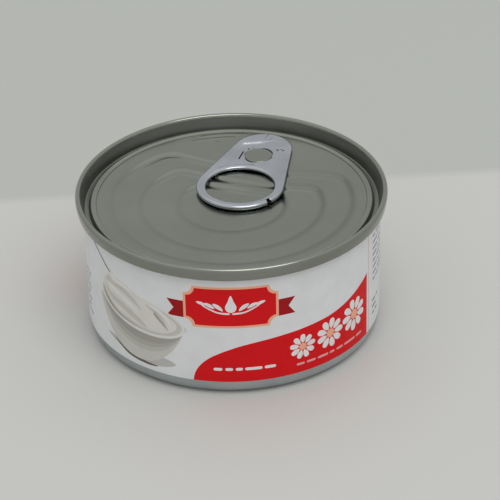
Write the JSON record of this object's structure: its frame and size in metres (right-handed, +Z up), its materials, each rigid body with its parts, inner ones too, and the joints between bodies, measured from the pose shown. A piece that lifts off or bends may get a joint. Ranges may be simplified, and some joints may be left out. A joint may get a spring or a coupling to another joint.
{
  "type": "table cream can",
  "caption": "Small shut drawn steel can with a double seam, an easy-open lid with a riveted ring tab and stepped panel, and a wrapped paper label in white and red.",
  "frame": {"origin": "on the table, under the middle of the can", "axes": "+Z up along the can's axis, -Y to the front of the label, +X to the right; the tab's nose points away and a little to the right, 20.2 degrees from +Y"},
  "size_m": [0.0762, 0.0762, 0.0365],
  "materials": {
    "drawn_steel": "satin tinplate",
    "lacquered_steel": "satin, grey lacquer",
    "tab_steel": "satin, bright on the curls",
    "label_paper": "coated paper, printed white, grey and red"
  },
  "bodies": {
    "root": {"can_body": "drawn_steel", "lid": "lacquered_steel", "ring_tab": "tab_steel", "label": "label_paper"}
  },
  "joints": []
}
